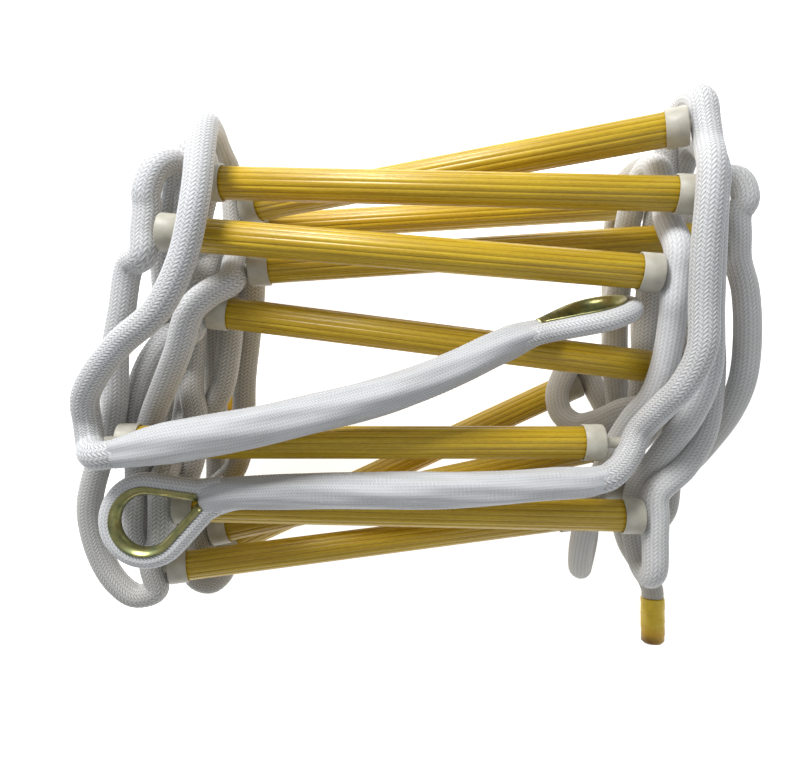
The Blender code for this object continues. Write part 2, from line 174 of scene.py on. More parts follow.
# ---------------------------------------------------------------- rope routes
RIGHT_ROPE = route(
    (141.5, -62.1, 160.9), (147, -61.2, 160), (156, -56, 155.5), (166, -45, 150), (174, -28, 150),
    (184, -10, 168), (192, 4, 183), (200, 28, 194), (200, 61, 198), (199, 95, 204),
    (200, 128, 208), (202, 148, 205),
    r(1, 0, 0.93, -0.36),
    (208, 208, 160), (207, 205, 140), (205, 188, 124), (203, 150, 112), (198, 115, 109),
    (194, 60, 108), (193, 17, 102), (192, -30, 92),
    r(12, 0, -1, 0),
    (194, -103, 80), (204, -110, 82), (215, -98, 86), (219, -70, 88), (222, -35, 90),
    (230, -5, 91), (241, 25, 93), (238, 60, 94), (226, 115, 94), (221, 150, 98),
    (219, 172, 112), (219, 184, 130), (217, 182, 150),
    r(2, 0, -1, 0),
    (216, 80, 172), (218, 60, 166), (219, 15, 160), (211, -18, 148), (197, -48, 129),
    (187, -76, 107), (187, -112, 100), (190, -134, 106), (192, -141, 119), (192, -134, 130),
    r(10, 0, 1, 0),
    (212, -56, 134), (227, -32, 133), (234, 0, 131), (236, 40, 127), (232, 80, 113),
    (231, 115, 108.5), (232, 145, 115), (240, 160, 128), (252, 158, 136), (256, 142, 139),
    r(4, 0, -1, 0, gap=7),
    (255, 75, 141), (258, 40, 138), (258, 10, 131), (255, -14, 117), (247, -38, 98),
    (236, -62, 76), (221, -82, 58), (205, -88, 48),
    r(11, 0, 1, 0),
    (186, -10, 60), (180, 15, 74), (176, 60, 88), (178, 115, 102), (182, 150, 112),
    (187, 168, 124), (190, 166, 140), (192, 142, 149.5), (192, 123, 156.5),
    r(3, 0, -1, 0),
    (190, 50, 170), (188, 17, 159), (184, -4, 147), (176, -20, 131), (167, -40, 119),
    (160, -60, 111), (153, -80, 106), (149, -100, 101), (149, -124, 84), (153, -145, 62),
    (159, -153, 42),
    r(9, 0, 1, 0),
    (184, -76, 28), (208, -48, 36), (226, -22, 48), (226, 5, 62), (222, 28, 78),
    (218, 42, 98), (216, 40, 118),
    r(6, 0, -1, 0),
    (205, -9, 126), (193, -12, 118), (178, -14, 107), (160, -24, 90), (147, -27, 77),
    (136, -18, 68), (133, -2, 65), (140, 16, 62), (152, 32, 50),
    r(8, 0.42, -0.9, 0),
    (186, -18, 36), (202, -24, 33), (214, -10, 33), (216, 30, 34), (216, 70, 35),
    (224, 95, 38), (231, 122, 42),
    r(5, 0, 1, 0, gap=1.9),
    (230, 190, 42), (220, 200, 36), (207, 194, 26), (200, 175, 18), (197, 140, 13),
    (196, 90, 12), (196, 40, 12), (196, -12, 12), (193, -53, 12), (198, -92, 12),
    (202, -108, 12), (204, -116, 12),
)
RIGHT_TAIL = route(
    (204.3, -117.2, 12), (206.2, -125, 12), (211, -140, 12), (222, -159, 12), (231, -177, 12),
    (232.8, -183, 12), (233, -189, 12),
)
RIGHT_TAPE = route((233, -189.8, 12), (233.2, -210, 12), (233.2, -231, 12))

LEFT_ROPE = route(
    (-190.7, -41.3, 181.1), (-196, -42.3, 180.7), (-205, -43.7, 178.5), (-214, -43, 171),
    (-221, -37, 158), (-224, -22, 156),
    (-223, -6, 163), (-213, 10, 172), (-191, 33, 181), (-163, 55, 189), (-145, 87, 194),
    (-136, 128, 194), (-136, 165, 181), (-139, 190, 160), (-141, 195, 135),
    (-142, 190, 108), (-141, 182, 82),
    l(1, 0, -1, 0),
    (-138, 112, 72), (-136, 75, 88), (-137, 33, 98), (-143, 2, 98), (-155, -18, 97),
    (-170, -45, 90),
    l(12, 0, -1, 0),
    (-185, -110, 84), (-189, -114, 98), (-184, -98, 108), (-172, -75, 110),
    (-163, -55, 110), (-160, -18, 111), (-163, 2, 111), (-162, 31, 110), (-162, 62, 107),
    (-162, 100, 108), (-156, 135, 112), (-148, 163, 120), (-148, 178, 134),
    (-152, 176, 147),
    l(2, 0, -1, 0),
    (-162, 118, 136), (-171, 95, 118), (-175, 62, 92), (-173, 0, 88), (-175, -40, 104),
    l(10, 0, -1, 0),
    (-182, -115, 130), (-192, -124, 129), (-200, -110, 128), (-201, -85, 126),
    (-198, -58, 125), (-188, -21, 128), (-176, 2, 138), (-161, 30, 150), (-149, 58, 160),
    (-137, 70, 158),
    l(4, 0.2, 0.65, -0.75, gap=1.9),
    (-119, 110, 112), (-118, 104, 101), (-119, 85, 92), (-125, 50, 77), (-130, 10, 72),
    (-133, -30, 64), (-142, -65, 54), (-163, -86, 49),
    l(11, 0, -1, 0),
    (-176, -146, 49), (-188, -151, 48), (-197, -138, 48), (-198, -100, 54),
    (-196, -60, 62), (-195, -10, 80), (-190, 40, 98), (-183, 72, 112), (-177, 105, 134),
    (-170, 130, 142), (-164, 150, 147), (-162, 164, 157), (-170, 158, 168),
    (-177, 140, 170),
    l(3, 0, -1, 0),
    (-193, 90, 158), (-201, 59, 152), (-208, 31, 146), (-213, -6, 136), (-224, -37, 122),
    (-235, -60, 115), (-245, -93, 105), (-241, -131, 95), (-229, -155, 90),
    (-215, -166, 87),
    l(9, -0.15, 1, 0.1, gap=3),
    (-204, -118, 98), (-208, -88, 100), (-208, -50, 104), (-204, -10, 116),
    (-190, 22, 127), (-172, 42, 131),
    l(6, 0.13, 0.99, 0, gap=1.9),
    (-150, 84, 130), (-147, 98, 122), (-148, 106, 108), (-151, 100, 92), (-155, 80, 76),
    (-158, 40, 64), (-160, 0, 52), (-162, -50, 38), (-166, -90, 27), (-176, -112, 19),
    l(8, 0.42, -0.9, 0),
    (-163, -166, 12), (-174, -176, 12), (-188, -172, 12), (-196, -150, 12),
    (-196, -100, 12), (-192, -50, 12), (-188, 0, 13), (-174, 60, 18), (-158, 100, 27),
    (-144, 125, 38),
    l(5, 0, 1, 0),
    (-140, 170, 40), (-142, 180, 28), (-144, 176, 15), (-146, 155, 12), (-146, 120, 12),
    (-150, 60, 12), (-156, 20, 12),
)
LEFT_TAPE = route((-156.1, 19.4, 12), (-160, -2, 12), (-164, -23, 12))

LOWER_SPLICE = route(
    (-122, -73, 160), (-98, -71.5, 160), (-60, -70, 161), (0, -70, 162), (70, -68, 163),
    (110, -65, 163), (132, -63.7, 162.3), (140.6, -62.2, 161),
)
LOWER_SPLICE_RADII = (0.0115, 0.0125, 0.013, 0.013, 0.0125, 0.012, 0.0115, 0.0105)
UPPER_SPLICE = route(
    (82, 37, 169.5), (64, 29, 173), (40, 17, 176), (0, 1, 179), (-60, -15, 181),
    (-108, -26, 183), (-150, -33, 184), (-189.4, -41, 181.2),
)
UPPER_SPLICE_RADII = (0.0115, 0.0125, 0.013, 0.0132, 0.014, 0.0145, 0.0145, 0.0115)

# eyes: point of the thimble hole, direction of its long axis, direction square to its flat
LOWER_EYE = (at(-143, -78, 160), (-0.94, -0.34, 0), (0, 0, 1))
UPPER_EYE = (at(102, 43.5, 165), (0.93, 0.29, -0.20), (0.30, -0.90, -0.27))

# where the taped tail bends away from the bundle
TAIL_HINGE = at(204.15, -116.6, 12)


# ---------------------------------------------------------------- camera, light and floor
def add_camera():
    data = bpy.data.cameras.new("camera")
    data.sensor_width = 36.0
    data.lens = CAMERA_LENS
    data.clip_start = 0.01
    camera = bpy.data.objects.new("camera", data)
    camera.location = (-CENTRE[0] / 1000, -CENTRE[1] / 1000, CAMERA_HEIGHT)
    bpy.context.scene.collection.objects.link(camera)
    bpy.context.scene.camera = camera


def add_area(name, location, target, size, power, colour=(1, 1, 1)):
    data = bpy.data.lights.new(name, "AREA")
    data.size = size
    data.energy = power
    data.color = colour
    lamp = bpy.data.objects.new(name, data)
    lamp.location = location
    away = unit(np.array(location) - np.array(target))
    lamp.rotation_mode = "QUATERNION"
    lamp.rotation_quaternion = Vector(away).to_track_quat("Z", "Y")
    bpy.context.scene.collection.objects.link(lamp)


def add_light():
    add_area("key", (-0.55, 1.15, 0.95), (0, 0, 0.1), 0.50, 27.0)
    add_area("fill", (1.1, -0.7, 0.9), (0, 0, 0.1), 1.2, 2.0)
    world = bpy.data.worlds.new("studio")
    world.use_nodes = True
    background = world.node_tree.nodes["Background"]
    background.inputs["Color"].default_value = (0.96, 0.98, 1.0, 1)
    background.inputs["Strength"].default_value = 0.42
    bpy.context.scene.world = world
    bpy.context.scene.view_settings.view_transform = "Standard"


def add_floor():
    verts = [(-6, -6, 0), (6, -6, 0), (6, 6, 0), (-6, 6, 0)]
    mesh = bpy.data.meshes.new("floor")
    mesh.from_pydata([(x, y, CAD_LOW.z - 0.0004) for x, y, z in verts], [], [(0, 1, 2, 3)])
    floor = bpy.data.objects.new("floor", mesh)
    bpy.context.scene.collection.objects.link(floor)
    tree = Tree("floor_pale")
    grain = tree.noise(tree.coords("Object"), 3.0, 2.0)
    tree.into("Base Color", tree.ramp(grain, [(0.3, (0.86, 0.86, 0.865)), (0.7, (0.88, 0.88, 0.88))]))
    tree.set("Roughness", 0.9)
    tree.set("Emission Color", (1, 1, 1, 1))
    tree.set("Emission Strength", 0.8)
    mesh.materials.append(tree.material)


# ---------------------------------------------------------------- material nodes
class Tree:
    """Short names for the nodes of one material."""

    def __init__(self, name):
        self.material = bpy.data.materials.new(name)
        self.material.use_nodes = True
        self.tree = self.material.node_tree
        self.shader = self.tree.nodes["Principled BSDF"]

    def add(self, kind, **settings):
        node = self.tree.nodes.new(kind)
        for key, value in settings.items():
            setattr(node, key, value)
        return node

    def link(self, output, socket):
        self.tree.links.new(output, socket)

    def set(self, name, value):
        self.shader.inputs[name].default_value = value

    def into(self, name, output):
        self.link(output, self.shader.inputs[name])

    def coords(self, kind):
        return self.add("ShaderNodeTexCoord").outputs[kind]

    def scaled(self, vector, x, y, z):
        node = self.add("ShaderNodeMapping")
        node.inputs["Scale"].default_value = (x, y, z)
        self.link(vector, node.inputs["Vector"])
        return node.outputs["Vector"]

    def noise(self, vector, scale, detail=3.0, rough=0.5):
        node = self.add("ShaderNodeTexNoise")
        node.inputs["Scale"].default_value = scale
        node.inputs["Detail"].default_value = detail
        node.inputs["Roughness"].default_value = rough
        self.link(vector, node.inputs["Vector"])
        return node.outputs["Fac"]

    def attribute(self, name):
        return self.add("ShaderNodeAttribute", attribute_name=name).outputs["Fac"]

    def ramp(self, value, stops):
        node = self.add("ShaderNodeValToRGB")
        elements = node.color_ramp.elements
        while len(elements) < len(stops):
            elements.new(0.5)
        for element, (position, colour) in zip(elements, stops):
            element.position = position
            element.color = (*colour, 1)
        self.link(value, node.inputs["Fac"])
        return node.outputs["Color"]

    def math(self, operation, a, b):
        node = self.add("ShaderNodeMath", operation=operation)
        for socket, value in zip(node.inputs, (a, b)):
            if isinstance(value, (int, float)):
                socket.default_value = value
            else:
                self.link(value, socket)
        return node.outputs["Value"]

    def mix(self, kind, factor, a, b):
        node = self.add("ShaderNodeMix", data_type="RGBA", blend_type=kind)
        for socket, value in zip((node.inputs[0], node.inputs[6], node.inputs[7]), (factor, a, b)):
            if isinstance(value, (int, float)):
                socket.default_value = value
            elif isinstance(value, tuple):
                socket.default_value = (*value, 1)
            else:
                self.link(value, socket)
        return node.outputs[2]

    def bump(self, height, strength, distance, under=None):
        node = self.add("ShaderNodeBump")
        node.inputs["Strength"].default_value = strength
        node.inputs["Distance"].default_value = distance
        self.link(height, node.inputs["Height"])
        if under is not None:
            self.link(under, node.inputs["Normal"])
        return node.outputs["Normal"]


def rope_material(name, groove, middle, crown, fibre_scale, streak):
    """White polyester yarn: fibres along each strand, with painted shade in the grooves, and darker
    and warmer towards the bottom of the bundle."""
    tree = Tree(name)
    strand = tree.coords("UV")
    place = tree.coords("Object")
    height = tree.attribute("strand_height")
    fibres = tree.noise(tree.scaled(strand, 2.0, fibre_scale, 1.0), 1.0, 3.0, 0.6)
    soil = tree.noise(place, 28.0, 4.0, 0.6)
    yarn = tree.noise(tree.scaled(strand, 0.7, streak, 1.0), 1.0, 1.0)
    depth = tree.add("ShaderNodeSeparateXYZ")
    tree.link(place, depth.inputs["Vector"])
    # painted shade: the colour darkens from the strand crowns down into the grooves between strands
    colour = tree.ramp(height, [(0.05, groove), (0.45, middle), (0.9, crown)])
    thread = tree.ramp(fibres, [(0.3, (0.84, 0.84, 0.85)), (0.6, (1.0, 1.0, 1.0))])
    colour = tree.mix("MULTIPLY", 0.8, colour, thread)
    tint = tree.ramp(soil, [(0.35, (0.93, 0.92, 0.90)), (0.65, (1.0, 1.0, 1.0))])
    colour = tree.mix("MULTIPLY", 0.8, colour, tint)
    shade = tree.ramp(yarn, [(0.3, (0.92, 0.92, 0.93)), (0.7, (1.0, 1.0, 1.0))])
    colour = tree.mix("MULTIPLY", 0.7, colour, shade)
    # darker and warmer towards the bottom of the bundle
    low = tree.ramp(depth.outputs["Z"], [(0.03, (0.74, 0.69, 0.60)), (0.10, (0.88, 0.86, 0.81)),
                                         (0.17, (1.0, 1.0, 1.0))])
    tree.into("Base Color", tree.mix("MULTIPLY", 1.0, colour, low))
    tree.into("Roughness", tree.ramp(fibres, [(0.3, (0.7, 0.7, 0.7)), (0.7, (0.5, 0.5, 0.5))]))
    tree.set("Sheen Weight", 0.25)
    tree.set("Sheen Roughness", 0.4)
    tree.into("Normal", tree.bump(fibres, 0.45, 0.0004))
    return tree.material


def glass_material():
    """Yellow pultruded glassfibre: fine strands run lengthwise under a clear resin skin."""
    tree = Tree("rung_glassfibre")
    place = tree.coords("Object")
    strands = tree.noise(tree.scaled(place, 14.0, 900.0, 900.0), 1.0, 3.0, 0.6)
    grain = tree.noise(tree.scaled(place, 260.0, 900.0, 900.0), 1.0, 2.0, 0.7)
    patches = tree.noise(tree.scaled(place, 14.0, 60.0, 60.0), 1.0, 3.0, 0.5)
    ridge = tree.attribute("rib_height")
    colour = tree.ramp(strands, [(0.28, (0.46, 0.28, 0.008)), (0.5, (0.58, 0.39, 0.014)),
                                 (0.75, (0.66, 0.48, 0.028))])
    speck = tree.ramp(grain, [(0.32, (0.84, 0.81, 0.74)), (0.55, (1.0, 1.0, 1.0))])
    colour = tree.mix("MULTIPLY", 0.85, colour, speck)
    tint = tree.ramp(patches, [(0.3, (0.86, 0.82, 0.72)), (0.7, (1.0, 1.0, 1.0))])
    colour = tree.mix("MULTIPLY", 0.9, colour, tint)
    # painted shade: the flutes between the ribs are darkened
    darkening = tree.ramp(ridge, [(0.0, (0.55, 0.45, 0.32)), (0.45, (1.0, 1.0, 1.0))])
    colour = tree.mix("MULTIPLY", 0.8, colour, darkening)
    tree.into("Base Color", colour)
    tree.into("Roughness", tree.ramp(grain, [(0.3, (0.48, 0.48, 0.48)), (0.7, (0.3, 0.3, 0.3))]))
    tree.set("Coat Weight", 0.15)
    tree.set("Coat Roughness", 0.25)
    low = tree.bump(strands, 0.4, 0.0003)
    tree.into("Normal", tree.bump(grain, 0.25, 0.0002, low))
    return tree.material


def nylon_material():
    """Cloudy moulded nylon with a faint mould texture."""
    tree = Tree("cap_nylon")
    place = tree.coords("Object")
    cloud = tree.noise(place, 90.0, 4.0, 0.55)
    fine = tree.noise(place, 1400.0, 2.0, 0.6)
    tree.into("Base Color", tree.ramp(cloud, [(0.3, (0.40, 0.38, 0.31)), (0.7, (0.52, 0.50, 0.43))]))
    tree.into("Roughness", tree.ramp(cloud, [(0.3, (0.5, 0.5, 0.5)), (0.7, (0.36, 0.36, 0.36))]))
    tree.set("Subsurface Weight", 0.35)
    tree.set("Subsurface Radius", (0.006, 0.005, 0.004))
    tree.into("Normal", tree.bump(fine, 0.15, 0.0002))
    return tree.material


def thimble_material():
    """Yellow-passivated steel: brassy where rubbed, olive where it is not."""
    tree = Tree("thimble_plated_steel")
    place = tree.coords("Object")
    stain = tree.noise(place, 70.0, 5.0, 0.6)
    brushed = tree.noise(tree.scaled(place, 60.0, 60.0, 900.0), 1.0, 3.0, 0.6)
    colour = tree.ramp(stain, [(0.3, (0.13, 0.16, 0.08)), (0.5, (0.32, 0.31, 0.13)),
                               (0.72, (0.50, 0.43, 0.20))])
    rub = tree.ramp(brushed, [(0.3, (0.82, 0.82, 0.80)), (0.7, (1.0, 1.0, 1.0))])
    tree.into("Base Color", tree.mix("MULTIPLY", 0.8, colour, rub))
    tree.into("Roughness", tree.ramp(stain, [(0.3, (0.45, 0.45, 0.45)), (0.7, (0.24, 0.24, 0.24))]))
    tree.set("Metallic", 0.9)
    tree.into("Normal", tree.bump(brushed, 0.2, 0.0002))
    return tree.material


def tape_material():
    """Yellow plastic tape, scuffed and darker towards the cut end."""
    tree = Tree("tail_tape")
    place = tree.coords("Object")
    scuff = tree.noise(place, 160.0, 4.0, 0.65)
    darkening = tree.noise(place, 45.0, 3.0, 0.6)
    end_amount = tree.attribute("end_share")
    end_darkness = tree.math("MULTIPLY", end_amount, tree.math("ADD", darkening, 0.5))
    # darker towards the cut end, in blotches
    colour = tree.ramp(end_darkness, [(0.12, (0.72, 0.50, 0.03)), (0.5, (0.62, 0.36, 0.02)),
                               (0.85, (0.20, 0.10, 0.02))])
    marks = tree.ramp(scuff, [(0.3, (0.80, 0.78, 0.70)), (0.6, (1.0, 1.0, 1.0))])
    tree.into("Base Color", tree.mix("MULTIPLY", 0.7, colour, marks))
    tree.into("Roughness", tree.ramp(scuff, [(0.3, (0.55, 0.55, 0.55)), (0.7, (0.3, 0.3, 0.3))]))
    tree.into("Normal", tree.bump(scuff, 0.3, 0.0003))
    return tree.material


# ---------------------------------------------------------------- paths and frames
def smooth_path(points):
    """Centripetal Catmull-Rom curve through the points, the line that the CAD solid follows."""
    ring = [points[0] * 2 - points[1]] + list(points) + [points[-1] * 2 - points[-2]]
    samples = []
    for i in range(1, len(ring) - 2):
        p0, p1, p2, p3 = ring[i - 1:i + 3]
        t1 = np.linalg.norm(p1 - p0) ** 0.5
        t2 = t1 + np.linalg.norm(p2 - p1) ** 0.5
        t3 = t2 + np.linalg.norm(p3 - p2) ** 0.5
        count = max(2, int(np.linalg.norm(p2 - p1) / STEP))
        t = (t1 + (t2 - t1) * np.arange(count) / count)[:, None]
        a1 = p0 * ((t1 - t) / t1) + p1 * (t / t1)
        a2 = p1 * ((t2 - t) / (t2 - t1)) + p2 * ((t - t1) / (t2 - t1))
        a3 = p2 * ((t3 - t) / (t3 - t2)) + p3 * ((t - t2) / (t3 - t2))
        b1 = a1 * ((t2 - t) / t2) + a2 * (t / t2)
        b2 = a2 * ((t3 - t) / (t3 - t1)) + a3 * ((t - t1) / (t3 - t1))
        samples.append(b1 * ((t2 - t) / (t2 - t1)) + b2 * ((t - t1) / (t2 - t1)))
    samples.append(points[-1][None, :])
    return np.vstack(samples)


def evenly(samples, step):
    """Evenly spaced points along a path, and how far along it each one is."""
    spans = np.linalg.norm(np.diff(samples, axis=0), axis=1)
    run = np.concatenate([[0.0], np.cumsum(spans)])
    count = max(3, int(round(run[-1] / step)) + 1)
    where = np.linspace(0.0, run[-1], count)
    points = np.stack([np.interp(where, run, samples[:, i]) for i in range(3)], 1)
    return points, where


def carried_frames(points, first_side):
    """Two directions square to the path at every point, carried along it without twist."""
    tangents = np.gradient(points, axis=0)
    tangents /= np.linalg.norm(tangents, axis=1)[:, None]
    sides = np.empty_like(points)
    side = np.array(first_side, float)
    for i, tangent in enumerate(tangents):
        side = side - tangent * side.dot(tangent)
        side = side / np.linalg.norm(side)
        sides[i] = side
    return sides, np.cross(tangents, sides)


# ---------------------------------------------------------------- mesh building
def grid_quads(rows, around):
    """Faces of a tube of rings, and the grid column of each corner before it wraps."""
    i, k = np.meshgrid(np.arange(rows - 1), np.arange(around), indexing="ij")
    i, k = i.ravel(), k.ravel()
    corners_i = np.stack([i, i, i + 1, i + 1], 1)
    corners_k = np.stack([k, k + 1, k + 1, k], 1)
    return corners_i * around + corners_k % around, corners_i, corners_k


def make_mesh(name, verts, quads, lids=()):
    mesh = bpy.data.meshes.new(name)
    mesh.vertices.add(len(verts))
    mesh.vertices.foreach_set("co", np.asarray(verts, np.float32).ravel())
    corners = np.concatenate([quads.ravel()] + [np.asarray(lid) for lid in lids]).astype(np.int32)
    sizes = np.concatenate([np.full(len(quads), 4), [len(lid) for lid in lids]]).astype(np.int32)
    starts = np.concatenate([[0], np.cumsum(sizes)[:-1]]).astype(np.int32)
    mesh.loops.add(len(corners))
    mesh.loops.foreach_set("vertex_index", corners)
    mesh.polygons.add(len(sizes))
    mesh.polygons.foreach_set("loop_start", starts)
    mesh.update(calc_edges=True)
    mesh.validate()
    mesh.shade_smooth()
    return mesh


def add_values(mesh, name, values):
    layer = mesh.attributes.new(name, "FLOAT", "POINT")
    layer.data.foreach_set("value", np.asarray(values, np.float32).ravel())


def add_object(name, mesh, material):
    mesh.materials.append(material)
    piece = bpy.data.objects.new(name, mesh)
    bpy.context.scene.collection.objects.link(piece)
    return piece


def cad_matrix(x, y, z, origin):
    matrix = np.eye(4)
    matrix[:3, 0], matrix[:3, 1], matrix[:3, 2], matrix[:3, 3] = x, y, z, origin
    return Matrix(matrix.tolist())


def axis_frame(origin, direction):
    x = unit(direction)
    side = unit(np.cross((0, 0, 1), x))
    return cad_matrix(x, side, np.cross(x, side), origin)


# ---------------------------------------------------------------- braided rope
def braid(run, around, columns, pitch):
    """Height of the braid, 0 to 1, and where each corner lies along its strand.

    The strands of one column lean one way and those of the next column lean back, so
    neighbouring columns meet in a line of V shapes."""
    column = np.arange(around + 1) * columns / around
    lean = np.abs(column % 2 - 1)
    phase = run[:, None] / pitch + lean[None, :]
    strand = np.abs(np.sin(np.pi * phase)) ** 0.7
    crown = 0.6 + 0.4 * np.abs(np.sin(np.pi * column)) ** 0.6
    return strand * crown[None, :], column, phase


def tube_verts(points, sides, ups, radii):
    around = radii.shape[1]
    angle = 2 * np.pi * np.arange(around) / around
    across = np.cos(angle)[None, :, None] * sides[:, None, :]
    across = across + np.sin(angle)[None, :, None] * ups[:, None, :]
    return points[:, None, :] + across * radii[:, :, None]


def braided_mesh(name, verts, height, column, phase, first, last):
    """One stretch of a braided tube, closed at both ends."""
    rows = last - first
    around = verts.shape[1]
    quads, corner_i, corner_k = grid_quads(rows, around)
    lids = (np.arange(around)[::-1], (rows - 1) * around + np.arange(around))
    mesh = make_mesh(name, verts[first:last].reshape(-1, 3), quads, lids)
    add_values(mesh, "strand_height", height[first:last, :around])
    uv = np.zeros((len(mesh.loops), 2), np.float32)
    uv[:quads.size, 0] = column[corner_k.ravel()]
    uv[:quads.size, 1] = phase[first:last][corner_i.ravel(), corner_k.ravel()]
    layer = mesh.uv_layers.new(name="strands")
    layer.data.foreach_set("uv", uv.ravel())
    return mesh


def rope_wobble(run, around):
    """Slow unevenness of a used rope."""
    angle = 2 * np.pi * np.arange(around) / around
    slow = 0.00012 * np.sin(run / 0.021)[:, None]
    oval = 0.00018 * np.sin(run / 0.035)[:, None] * np.cos(2 * angle + 1.0)[None, :]
    return slow + oval - 0.0002


def cover_wrinkles(run, around):
    """Loose folds of the cover over a splice: long creases and small puckers across."""
    angle = 2 * np.pi * np.arange(around) / around
    s = run[:, None]
    creases = 0.00060 * np.sin(4 * angle + s / 0.030) * np.sin(s / 0.047 + 1.0)
    creases = creases + 0.00035 * np.sin(7 * angle - s / 0.018 + 2.0)
    puckers = 0.00018 * np.sin(s / 0.00045 + 3.0 * np.sin(angle + s / 0.05))
    amount = np.sin(s / 0.013 + 3 * angle) * np.sin(s / 0.041 - 2 * angle)
    return creases + puckers * amount


def throat(run, around):
    """Cover of a splice beside its eye: wide and flat over both strands, with a rounded tip."""
    share = np.clip(run / THROAT_LENGTH, 0, 1)[:, None]
    ease = share * share * (3 - 2 * share)
    high = THROAT_HEIGHT + (1 - THROAT_HEIGHT) * ease
    wide = THROAT_WIDTH + (1 - THROAT_WIDTH) * ease
    angle = 2 * np.pi * np.arange(around)[None, :] / around
    oval = high * wide / np.hypot(wide * np.cos(angle), high * np.sin(angle))
    tip = np.sqrt(1 - (1 - np.clip(run / THROAT_TIP, 0, 1)) ** 2)[:, None]
    left = np.clip((run[-1] - run) / COVER_TAPER, 0, 1)[:, None]
    return oval * (0.3 + 0.7 * tip) * (COVER_END + (1 - COVER_END) * left)


def lay_braid(points, radius, columns, pitch, depth, wobble, first_side, outline=None):
    """Vertices and braid values of a whole rope; radius is one number or one per point."""
    path, run = evenly(points, pitch / STRAND_SAMPLES)
    sides, ups = carried_frames(path, first_side)
    around = columns * STRAND_SAMPLES
    height, column, phase = braid(run, around, columns, pitch)
    if np.ndim(radius):
        share = np.linspace(0, 1, len(radius))
        radius = np.interp(run / run[-1], share, radius)[:, None]
    if outline is not None:
        radius = radius * outline(run, around)
    radii = radius - depth * (1 - height[:, :around]) + wobble(run, around)
    return path, run, tube_verts(path, sides, ups, radii), height, column, phase


def declare_rope(node, path):
    line = path[::4]
    if (len(path) - 1) % 4:
        line = np.vstack([line, path[-1:]])
    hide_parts(node)


def side_ropes(material):
    shape = (ROPE_COLUMNS, ROPE_PITCH, ROPE_DEPTH, rope_wobble)
    path, run, verts, height, column, phase = lay_braid(
        smooth_path(LEFT_ROPE), ROPE_R, *shape, (0, 0, 1))
    mesh = braided_mesh("left_rope", verts, height, column, phase, 0, len(path))
    left = add_object("left_rope_braid", mesh, material)
    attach(left, "rope_bundle")
    declare_rope("left_side_rope", path)

    whole = np.vstack([smooth_path(RIGHT_ROPE), smooth_path(RIGHT_TAIL)])
    path, run, verts, height, column, phase = lay_braid(whole, ROPE_R, *shape, (0, 0, 1))
    split = int(np.argmin(np.linalg.norm(path - TAIL_HINGE, axis=1)))
    mesh = braided_mesh("right_tail", verts, height, column, phase, split, len(path))
    tail = add_object("right_tail_braid", mesh, material)
    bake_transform(tail)
    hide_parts("right_rope_tail")
    mesh = braided_mesh("right_rope", verts, height, column, phase, 0, split + 1)
    right = add_object("right_rope_braid", mesh, material)
    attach(right, "rope_bundle")
    declare_rope("right_side_rope", path[:split + 1])


def splice(name, node, points, radii, eye, rope, material):
    """Served splice, from the eye's point to just over the rope, which it bends away from."""
    hinge = rope[0]
    lap = hinge + unit(rope[1] - hinge) * COVER_LAP
    path, run, verts, height, column, phase = lay_braid(
        smooth_path([eye[0]] + points + [lap]), np.array(radii[:1] + radii), SPLICE_COLUMNS, SPLICE_PITCH,
        SPLICE_DEPTH, cover_wrinkles, eye_axes(eye)[2], throat)
    mesh = braided_mesh(name, verts, height, column, phase, 0, len(path))
    piece = add_object(name, mesh, material)
    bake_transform(piece)
    declare_rope(node, path)
    return piece


# ---------------------------------------------------------------- tapes
def tape_mesh(name, points):
    """Tape wound round the rope end: each turn steps up a little on the one before."""
    path, run = evenly(smooth_path(points), TAPE_STEP)
    sides, ups = carried_frames(path, (0, 0, 1))
    around = 96
    angle = 2 * np.pi * np.arange(around) / around
    turn = run[:, None] / TAPE_LEAD - angle[None, :] / (2 * np.pi)
    step = 0.00035 * (turn % 1.0)
    crease = 0.00012 * np.sin(5 * angle[None, :] + run[:, None] / 0.004)
    radii = TAPE_R - 0.0006 + step + crease
    left = run[-1] - run[:, None]
    radii = radii * np.clip(0.80 + left / 0.010, 0, 1.0)
    flat = 1 - 0.10 * np.clip((run[:, None] - 0.02) / 0.02, 0, 1)
    radii = radii * (1 - (1 - flat) * np.abs(np.cos(angle[None, :])))
    verts = tube_verts(path, sides, ups, radii)
    quads, corner_i, corner_k = grid_quads(len(path), around)
    lids = (np.arange(around)[::-1], (len(path) - 1) * around + np.arange(around))
    mesh = make_mesh(name, verts.reshape(-1, 3), quads, lids)
    # how far along towards the cut end; the tape's colour darkens with it
    end_share = np.clip(run / run[-1] * 1.6 - 0.75, 0, 1)
    add_values(mesh, "end_share", np.repeat(end_share, around))
    return mesh


def add_tapes(material):
    right = add_object("right_tail_tape_wrap", tape_mesh("right_tape", RIGHT_TAPE), material)
    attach(right, "rope_tail")
    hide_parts("right_tail_tape")
    left = add_object("left_tail_tape_wrap", tape_mesh("left_tape", LEFT_TAPE), material)
    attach(left, "rope_bundle")
    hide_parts("left_tail_tape")
    return {"left": left, "right": right}


# ---------------------------------------------------------------- rungs
def rib_profile(samples):
    """Radius round the tube: broad rounded ribs with narrow flutes between them."""
    share = np.arange(samples) * RIBS / samples % 1.0
    rise = np.abs(np.sin(np.pi * share)) ** 0.55
    return GROOVE_R + (TUBE_R - GROOVE_R) * rise, rise


